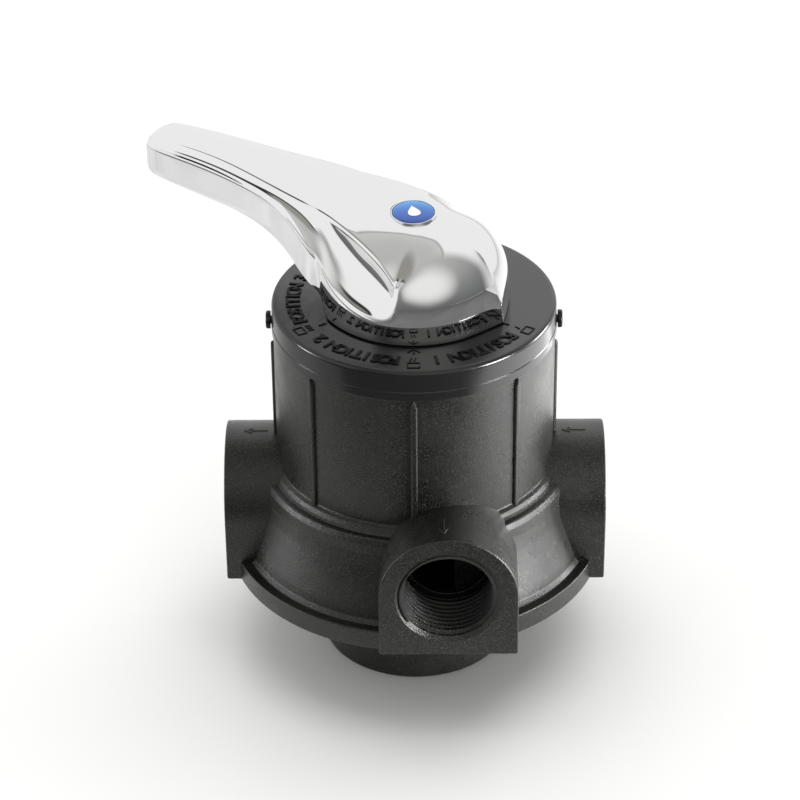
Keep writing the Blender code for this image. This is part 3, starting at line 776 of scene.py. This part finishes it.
# ---------------------------------------------------------------- seals
def make_seals():
    """The two outer O-rings, round in section where the CAD rings are six-sided."""
    wire_steps = 20
    round_share = 1.0864577
    for name, node in (("tank_seal", "tank_o_ring"), ("riser_seal", "riser_o_ring")):
        low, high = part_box(node)
        wire = (high.z - low.z) / 2 * round_share
        radius, height = high.x - wire, (low.z + high.z) / 2
        profile = []
        for i in range(wire_steps):
            angle = math.tau * i / wire_steps
            profile.append((radius + wire * math.cos(angle), height - wire * math.sin(angle)))
        ring = add_piece(name, finish_mesh(lathe(profile, 96, closed=True), name), "valve",
                         "rubber", RUBBER, node)
        ring.data.shade_smooth()


# ---------------------------------------------------------------- handle
# u runs out along the arm, w across it, and heights are above the cap's top.
UNDER_SHARES = (0.35, 0.7, 1.0)


def dome_height(u, w):
    """The height of the round dome over a point of the plan."""
    inside = max(0.0, 1.0 - (u * u + w * w) / HANDLE_R ** 2)
    return HANDLE_RIM + DOME_RISE * math.sqrt(inside)


def under_points(foot, middle_u):
    """A rib's points along the underside, from its foot to the middle."""
    middle = Vector((middle_u, 0.0, foot.z))
    return [foot.lerp(middle, share) for share in UNDER_SHARES]


def scooped_rib(keel, crown, edge, foot, hollow):
    """Half a cross-section of the arm, from its top line to the middle of its underside."""
    keel, crown, edge, foot = Vector(keel), Vector(crown), Vector(edge), Vector(foot)
    halfway, roundness = 0.55, 0.35
    shoulder = keel.lerp(crown, halfway) + Vector((0, 0, roundness * (keel.z - crown.z)))
    across = edge - crown
    sink = Vector((0.0, across.z, -across.y)) * hollow
    scoop = [crown + across * share + sink for share in (0.3, 0.7)]
    return [keel, shoulder, crown, *scoop, edge, foot] + under_points(foot, keel.x)


def dome_rib(keel_u, degrees, shares):
    """Half a cross-section of the dome, from its top line to the rim at an angle."""
    keel = Vector((keel_u, 0.0, 0.0))
    u, w = on_circle(HANDLE_R, degrees)
    rim = Vector((u, w, 0.0))
    points = []
    for share in (0.0, *shares):
        point = keel.lerp(rim, share)
        points.append(Vector((point.x, point.y, dome_height(point.x, point.y))))
    foot = Vector((u, w, HANDLE_FOOT))
    return points + [Vector((u, w, HANDLE_RIM)), foot] + under_points(foot, keel_u)


def step_rib(source, height):
    """A copy of a rib whose underside follows the band's circle at a height."""
    points = source[:6]
    edge = source[5]
    start = math.degrees(math.atan2(edge.y, edge.x))
    for share in (0.0, *UNDER_SHARES):
        u, w = on_circle(HANDLE_R, start * (1.0 - share))
        points.append(Vector((u, w, height)))
    return points


def pointer_rib():
    """The line down the middle of the pointer, from the dome to its tip on the cap."""
    line = [(-0.0270, 0.0247), (-0.0295, 0.0215), (-0.0315, 0.0180), (-0.0330, 0.0143),
            (-0.0342, 0.0112), (-0.0352, 0.0085), (-0.0362, HANDLE_FOOT)]
    line += [(u, HANDLE_FOOT) for u in (-0.0330, -0.0300, -0.0270)]
    return [Vector((u, 0.0, z)) for u, z in line]


def handle_ribs():
    """The cross-sections from the arm's tip to the pointer."""
    # Each row of the arm: top line (u, z), crown, edge, height of the foot, depth of the scoop.
    arm = [
        ((0.1065, 0.0396), (0.1065, 0.0052, 0.0390), (0.1060, 0.0082, 0.0375), 0.0282, 0.10),
        ((0.1040, 0.0406), (0.1040, 0.0068, 0.0398), (0.1033, 0.0105, 0.0377), 0.0271, 0.20),
        ((0.0960, 0.0412), (0.0960, 0.0075, 0.0403), (0.0951, 0.0115, 0.0380), 0.0264, 0.24),
        ((0.0840, 0.0410), (0.0840, 0.0077, 0.0400), (0.0830, 0.0122, 0.0376), 0.0253, 0.24),
        ((0.0720, 0.0404), (0.0720, 0.0086, 0.0393), (0.0709, 0.0134, 0.0369), 0.0246, 0.22),
        ((0.0600, 0.0394), (0.0600, 0.0105, 0.0380), (0.0588, 0.0152, 0.0356), 0.0238, 0.18),
        ((0.0500, 0.0384), (0.0500, 0.0121, 0.0368), (0.0485, 0.0176, 0.0345), 0.0216, 0.14),
        ((0.0420, 0.0376), (0.0420, 0.0135, 0.0360), (0.0400, 0.0208, 0.0324), 0.0188, 0.11),
        ((0.0350, 0.0369), (0.0350, 0.0147, 0.0353), (0.0327, 0.0245, 0.0296), 0.0146, 0.10),
        ((0.0290, 0.0363), (0.0290, 0.0160, 0.0350), (0.0266, 0.0270, 0.0256), 0.0112, 0.10),
    ]
    # Each row of the base: the same, with the foot's angle on the base circle for its height.
    base = [
        ((0.0265, 0.0361), (0.0265, 0.0167, 0.0346), (0.0230, 0.0272, 0.0235), 47.0, 0.10),
        ((0.0225, 0.0358), (0.0220, 0.0180, 0.0340), (0.0206, 0.0282, 0.0204), 52.0, 0.11),
        ((0.0180, 0.0355), (0.0170, 0.0197, 0.0330), (0.0174, 0.0298, 0.0170), 58.5, 0.12),
        ((0.0130, 0.0352), (0.0110, 0.0213, 0.0315), (0.0132, 0.0314, 0.0139), 67.0, 0.13),
        ((0.0070, 0.0350), (0.0040, 0.0236, 0.0290), (0.0065, 0.0334, 0.0112), 79.0, 0.14),
        ((0.0020, 0.0348), (-0.0035, 0.0256, 0.0255), (0.0000, 0.0340, 0.0098), 90.0, 0.15),
        ((-0.0025, 0.0346), (-0.0088, 0.0276, 0.0208), (-0.0047, 0.0337, 0.0090), 98.0, 0.12),
    ]
    ribs = []
    for (u, z), crown, edge, foot_z, hollow in arm:
        ribs.append(scooped_rib((u, 0.0, z), crown, edge, (edge[0], edge[1], foot_z), hollow))
    for (u, z), crown, edge, degrees, hollow in base:
        foot = (*on_circle(HANDLE_R, degrees), HANDLE_FOOT)
        ribs.append(scooped_rib((u, 0.0, z), crown, edge, foot, hollow))
    first_base = len(arm)
    ribs[first_base] = step_rib(ribs[first_base], HANDLE_RIM)
    ribs[first_base + 1] = step_rib(ribs[first_base + 1], HANDLE_FOOT)
    # Each row of the dome: top line u, rim angle, shares of the way from the top line to the rim.
    dome = [
        (-0.0065, 107.0, (0.42, 0.86, 0.92, 0.965)),
        (-0.0100, 117.0, (0.41, 0.76, 0.87, 0.95)),
        (-0.0135, 128.0, (0.39, 0.69, 0.84, 0.95)),
        (-0.0175, 140.0, (0.37, 0.65, 0.82, 0.94)),
        (-0.0210, 152.0, (0.36, 0.62, 0.81, 0.94)),
        (-0.0245, 165.0, (0.36, 0.62, 0.81, 0.94)),
    ]
    for keel_u, degrees, shares in dome:
        ribs.append(dome_rib(keel_u, degrees, shares))
    ribs.append(pointer_rib())
    tip_u, tip_z, tip_share = 0.1078, 0.0335, 0.75
    tip = [Vector((tip_u, p.y * tip_share, tip_z + (p.z - tip_z) * tip_share)) for p in ribs[0]]
    return [tip] + ribs


def handle_cage():
    """The right half of the handle as a coarse cage of cross-sections, with creases."""
    edge_column, foot_column, crown_column = 5, 6, 2
    scooped_rows, pointer_rows = 18, 5
    bm = bmesh.new()
    crease = bm.edges.layers.float.new("crease_edge")
    rows = [[bm.verts.new(point) for point in row] for row in handle_ribs()]
    for index, (first, second) in enumerate(zip(rows, rows[1:])):
        for column in range(len(first) - 1):
            bm.faces.new((first[column], first[column + 1], second[column + 1], second[column]))
        crown_crease = 0.6 if index < scooped_rows else 0.0
        for column, weight in ((edge_column, 0.75), (foot_column, 0.9),
                               (crown_column, crown_crease)):
            bm.edges.get((first[column], second[column]))[crease] = weight
    bm.faces.new(rows[0])
    for row in rows[-pointer_rows:]:
        for edge in row[0].link_edges:
            if abs(edge.other_vert(row[0]).co.y) < 1e-6:
                edge[crease] = 0.9
    for first, second in zip(rows[-1][:foot_column], rows[-1][1:foot_column + 1]):
        bm.edges.get((first, second))[crease] = 1.0
    return bm


def make_handle():
    """The chromed handle: a smoothed cage, mirrored, with its hollow, socket and screw well cut."""
    handle = add_piece("handle_shell", finish_mesh(handle_cage(), "handle_shell"), "lever",
                       "chrome", CHROME, "handle")
    mirror = handle.modifiers.new("halves", "MIRROR")
    mirror.use_axis = (False, True, False)
    mirror.use_clip = True
    mirror.merge_threshold = 0.00001
    subdivision = handle.modifiers.new("smooth", "SUBSURF")
    subdivision.levels = 3
    subdivision.render_levels = 3
    bake_modifiers(handle)
    turn = rotation(REST_ANGLE, "Z")
    handle.data.transform(Matrix.Translation((0, 0, CAP_TOP)) @ turn)
    steps = 96
    under = CAP_TOP - 0.002
    hollow_inner, hollow_outer, hollow_top = 0.0170, 0.0300, CAP_TOP + 0.0070
    hollow = lathe([(hollow_outer, hollow_top), (hollow_outer, under), (hollow_inner, under),
                    (hollow_inner, hollow_top)], steps, closed=True)
    half = DRIVE_HALF + DRIVE_GAP
    socket = stack([[(x * half, y * half, z) for x, y in ((-1, -1), (1, -1), (1, 1), (-1, 1))]
                    for z in (under, DRIVE_TOP + DRIVE_GAP)])
    room = lathe([(0.0, STEM_ROOM_TOP), (STEM_ROOM_R, STEM_ROOM_TOP), (STEM_ROOM_R, under),
                  (0.0, under)], steps)
    above, badge_hole, head_hole, shank_hole = 0.190, BADGE_R + 0.0001, 0.0062, 0.0034
    well_floor = DRIVE_TOP - 0.001
    well = lathe([(0.0, above), (badge_hole, above), (badge_hole, BADGE_SEAT),
                  (head_hole, BADGE_SEAT), (head_hole, SCREW_SEAT), (shank_hole, SCREW_SEAT),
                  (shank_hole, well_floor), (0.0, well_floor)], steps)
    apply_booleans(handle, [(cutter("hollow", hollow), "DIFFERENCE"),
                            (cutter("socket", socket, turn), "DIFFERENCE"),
                            (cutter("stem_room", room), "DIFFERENCE"),
                            (cutter("screw_well", well), "DIFFERENCE")])
    handle.data.shade_smooth()
    handle.data.set_sharp_from_angle(angle=math.radians(50))


def make_badge():
    """A blue domed badge in a thin pale rim, with a plain water drop."""
    seat = BADGE_SEAT
    base, rim_top, rim_inner = seat + 0.0003, seat + 0.0015, BADGE_R - 0.0005
    face_edge, face_rise = seat + 0.0012, 0.0009
    tilt = (Matrix.Translation((0, 0, seat)) @ rotation(BADGE_TILT, "X")
            @ Matrix.Translation((0, 0, -seat)))
    ring = rounded([(BADGE_R, rim_top, 0.0002), (BADGE_R, base, 0.0), (rim_inner, base, 0.0),
                    (rim_inner, rim_top, 0.0002)])
    ring = lathe(ring, 96, closed=True)
    ring.transform(tilt)
    smooth(add_piece("badge_rim", finish_mesh(ring, "badge_rim"), "lever", "chrome", CHROME))
    radius = BADGE_R - 0.0006
    dome = []
    for i in range(11):
        angle = math.radians(9.0 * i)
        dome.append((radius * math.sin(angle), face_edge + face_rise * math.cos(angle)))
    dome += [(radius, base), (0.0, base)]
    dome = lathe(dome, 96)
    dome.transform(tilt)
    smooth(add_piece("badge_face", finish_mesh(dome, "badge_face"), "lever", "blue_plastic",
                     BADGE_BLUE, "badge"))
    top = seat + 0.00222
    outline = [(x, y - 0.0004) for x, y in drop_outline(0.0025, 0.0066)]
    mark = stack([[(x, y, z) for x, y in outline] for z in (top - 0.0006, top)])
    mark.transform(tilt @ rotation(12, "Z"))
    smooth(add_piece("badge_drop", finish_mesh(mark, "badge_drop"), "lever", "blue_plastic",
                     BADGE_WHITE))


def drop_outline(radius, height):
    """A water drop: a round below, drawn up to a point."""
    points = []
    steps = 28
    sharpness, fullness = 1.5, 1.25
    for i in range(steps):
        angle = math.tau * i / steps
        narrow = math.sin(angle / 2) ** sharpness
        points.append((radius * fullness * math.sin(angle) * narrow, height / 2 * math.cos(angle)))
    return points


# ---------------------------------------------------------------- the CAD nodes that stay
KEPT_NODES = {
    "cap_o_ring": RUBBER, "disc_gasket": RUBBER,
    "stem_o_ring_lower": RUBBER, "stem_o_ring_upper": RUBBER,
    "fixed_disc": CERAMIC, "moving_disc": CERAMIC,
    "friction_washer": WHITE_PLASTIC, "stem_bush": WHITE_PLASTIC, "riser_collar": WHITE_PLASTIC,
    "moving_seat": GREY_PLASTIC, "seat_insert": BRASS, "handle_screw": STEEL, "screw_washer": STEEL,
    "drive_pin_90": STEEL, "drive_pin_210": STEEL, "drive_pin_330": STEEL,
}


def finish_kept_nodes():
    """Gives each CAD node that stays its material."""
    for name, material in KEPT_NODES.items():
        node = frame["nodes"][name]
        node.data.materials.clear()
        node.data.materials.append(material)


# ---------------------------------------------------------------- studio
WALL_WHITE = (0.92, 0.92, 0.91)
CEILING = (0.31, 0.305, 0.275)
FLOOR_HALF_SIDE = 6.0
FLOOR_GAP = 0.0001


def flat_sheet(name, half_side):
    """A square sheet of the studio, not part of the object."""
    bm = bmesh.new()
    bmesh.ops.create_grid(bm, x_segments=1, y_segments=1, size=half_side)
    sheet = bpy.data.objects.new(name, finish_mesh(bm, name))
    bpy.context.scene.collection.objects.link(sheet)
    return sheet


def matt_grey(name, level, lighter, scale):
    """A matt paper whose grey drifts between two levels."""
    material, tree, shader = new_material(name, (level, level, level), 0.9, specular=0.0)
    tree.links.new(ramp(tree, noise(tree, scale), [(0.3, (level,) * 3), (0.7, (lighter,) * 3)]),
                   shader.inputs["Base Color"])
    return material


def make_floor():
    floor = flat_sheet("floor", FLOOR_HALF_SIDE)
    floor.location.z = min(cad_box[0][2], 0.0) - FLOOR_GAP
    floor.data.materials.append(matt_grey("floor_white", 0.92, 0.935, 3.0))


def facing(tree, direction, start, end):
    """How far the looked-at direction of the world leans towards another, from 0 to 1."""
    coordinates = tree.nodes.new("ShaderNodeTexCoord")
    dot = tree.nodes.new("ShaderNodeVectorMath")
    dot.operation = "DOT_PRODUCT"
    dot.inputs[1].default_value = Vector(direction).normalized()
    tree.links.new(coordinates.outputs["Generated"], dot.inputs[0])
    node = tree.nodes.new("ShaderNodeMapRange")
    node.interpolation_type = "SMOOTHSTEP"
    node.inputs["From Min"].default_value = start
    node.inputs["From Max"].default_value = end
    tree.links.new(dot.outputs["Value"], node.inputs["Value"])
    return node.outputs["Result"]


def blend(tree, factor, first, second):
    """A mix of two colours, each a tuple or a socket."""
    node = tree.nodes.new("ShaderNodeMix")
    node.data_type = "RGBA"
    tree.links.new(factor, node.inputs["Factor"])
    for socket, colour in ((node.inputs["A"], first), (node.inputs["B"], second)):
        if isinstance(colour, tuple):
            socket.default_value = (*colour, 1.0)
        else:
            tree.links.new(colour, socket)
    return node.outputs["Result"]


def make_world():
    """A white tent, open and grey towards the camera, with a grey ceiling.

    The ramps run over the height looked at, from 0 straight down to 1 straight up. A thin dark gap
    parts the left wall from the ceiling, a softer one the right wall, and the grey front holds one
    bright window.
    """
    world = bpy.data.worlds.new("studio")
    bpy.context.scene.world = world
    world.use_nodes = True
    tree = world.node_tree
    height = facing(tree, (0, 0, 1), -1.0, 1.0)
    height.node.interpolation_type = "LINEAR"
    left = ramp(tree, height, [(0.0, WALL_WHITE), (0.925, WALL_WHITE), (0.932, (0.02, 0.02, 0.02)),
                               (0.942, (0.03, 0.03, 0.03)), (0.948, CEILING), (1.0, CEILING)])
    right = ramp(tree, height, [(0.0, WALL_WHITE), (0.955, WALL_WHITE), (0.960, (0.35, 0.35, 0.34)),
                                (0.966, (0.62, 0.62, 0.60)), (1.0, (0.52, 0.52, 0.50))])
    walls = blend(tree, facing(tree, (1, 0, 0), -0.26, -0.10), left, right)
    front = ramp(tree, height, [(0.0, (0.05, 0.05, 0.05)), (0.42, (0.10, 0.105, 0.10)),
                                (0.50, (0.15, 0.155, 0.15)), (0.70, (0.24, 0.245, 0.24)),
                                (1.0, (0.50, 0.50, 0.48))])
    front = blend(tree, facing(tree, (0.22, -0.72, 0.66), 0.74, 0.99), front, (0.88, 0.88, 0.85))
    sides = blend(tree, facing(tree, (0.45, -0.85, 0.25), 0.22, 0.46), walls, front)
    background = tree.nodes["Background"]
    tree.links.new(sides, background.inputs["Color"])
    background.inputs["Strength"].default_value = 1.0


def area_light(name, location, target, size, power):
    """A square light aimed at a point, and not seen by the camera."""
    light = bpy.data.lights.new(name, "AREA")
    light.energy = power
    light.size = size
    obj = bpy.data.objects.new(name, light)
    bpy.context.scene.collection.objects.link(obj)
    obj.location = location
    obj.rotation_euler = (Vector(target) - Vector(location)).to_track_quat("-Z", "Y").to_euler()
    obj.visible_camera = False
    return obj


def make_reflectors():
    """Cards on the floor, seen only in reflections: dark in front and right, pale on the left."""
    dark = matt_grey("card_dark", 0.16, 0.16 * 1.3, 5.0)
    pale = matt_grey("card_pale", 0.60, 0.60 * 1.3, 5.0)
    for side, centre, scale, material in (
            ("front", (1.0, -3.05, 0.001), (4.0, 2.90, 1.0), dark),
            ("right", (3.01, -0.01, 0.001), (2.87, 0.14, 1.0), dark),
            ("left", (-0.80, 0.30, 0.001), (0.68, 0.45, 1.0), pale)):
        card = flat_sheet("card_" + side, 1.0)
        card.scale = scale
        card.location = centre
        card.data.materials.append(material)
        card.visible_camera = False
        card.visible_diffuse = False
        card.visible_shadow = False


def make_lights():
    """A soft light above for everything, and weaker ones that shape only the black pieces."""
    centre = (0.0, 0.0, 0.08)
    softbox = area_light("top_softbox", (0.1, 0.2, 1.5), centre, 1.6, 15.0)
    softbox.visible_glossy = False
    black = (BODY_PLASTIC, CAP_PLASTIC, MARK_PLASTIC, BLACK_STEEL)
    plastics = bpy.data.collections.new("plastic_pieces")
    for obj in bpy.context.scene.objects:
        if obj.type == "MESH" and obj.data.materials and obj.data.materials[0] in black:
            plastics.objects.link(obj)
    for name, location, target, size, power in (
            ("right_strip", (0.80, -0.42, 0.20), centre, 0.30, 16.0),
            ("back_right_strip", (0.85, 0.30, 0.16), centre, 0.30, 8.0),
            ("left_strip", (-0.90, -0.05, 0.16), centre, 0.20, 2.6),
            ("floor_glow", (0.31, 0.00, 0.002), (0.31, 0.00, 1.0), 0.34, 1.05),
            ("back_panel", (0.20, 0.90, 0.70), (0.0, 0.0, CAP_TOP), 0.80, 1.2)):
        area_light(name, location, target, size, power).light_linking.receiver_collection = plastics


def make_camera():
    """The viewpoint: in front and looking down, half a metre above the cap, with a long lens."""
    data = bpy.data.cameras.new("camera")
    data.lens = 133.87
    data.sensor_width = 36.0
    data.clip_start = 0.01
    data.clip_end = 50.0
    camera = bpy.data.objects.new("camera", data)
    bpy.context.scene.collection.objects.link(camera)
    place = (0.00466, -0.90256, 0.67679)
    pitch_down, turn, roll = 0.569, 0.011, -0.010
    camera.matrix_world = (Matrix.Translation(place)
                           @ Matrix.Rotation(turn, 4, "Z")
                           @ Matrix.Rotation(math.pi / 2 - pitch_down, 4, "X")
                           @ Matrix.Rotation(roll, 4, "Z"))
    bpy.context.scene.camera = camera


make_camera()
make_floor()
make_reflectors()
make_world()
make_body()
make_threads()
make_flow_arrows()
make_cap()
make_dial()
make_lock_screws()
make_seals()
make_handle()
make_badge()
finish_kept_nodes()
make_lights()

bpy.context.scene.view_settings.view_transform = "Standard"
bpy.context.view_layer.update()
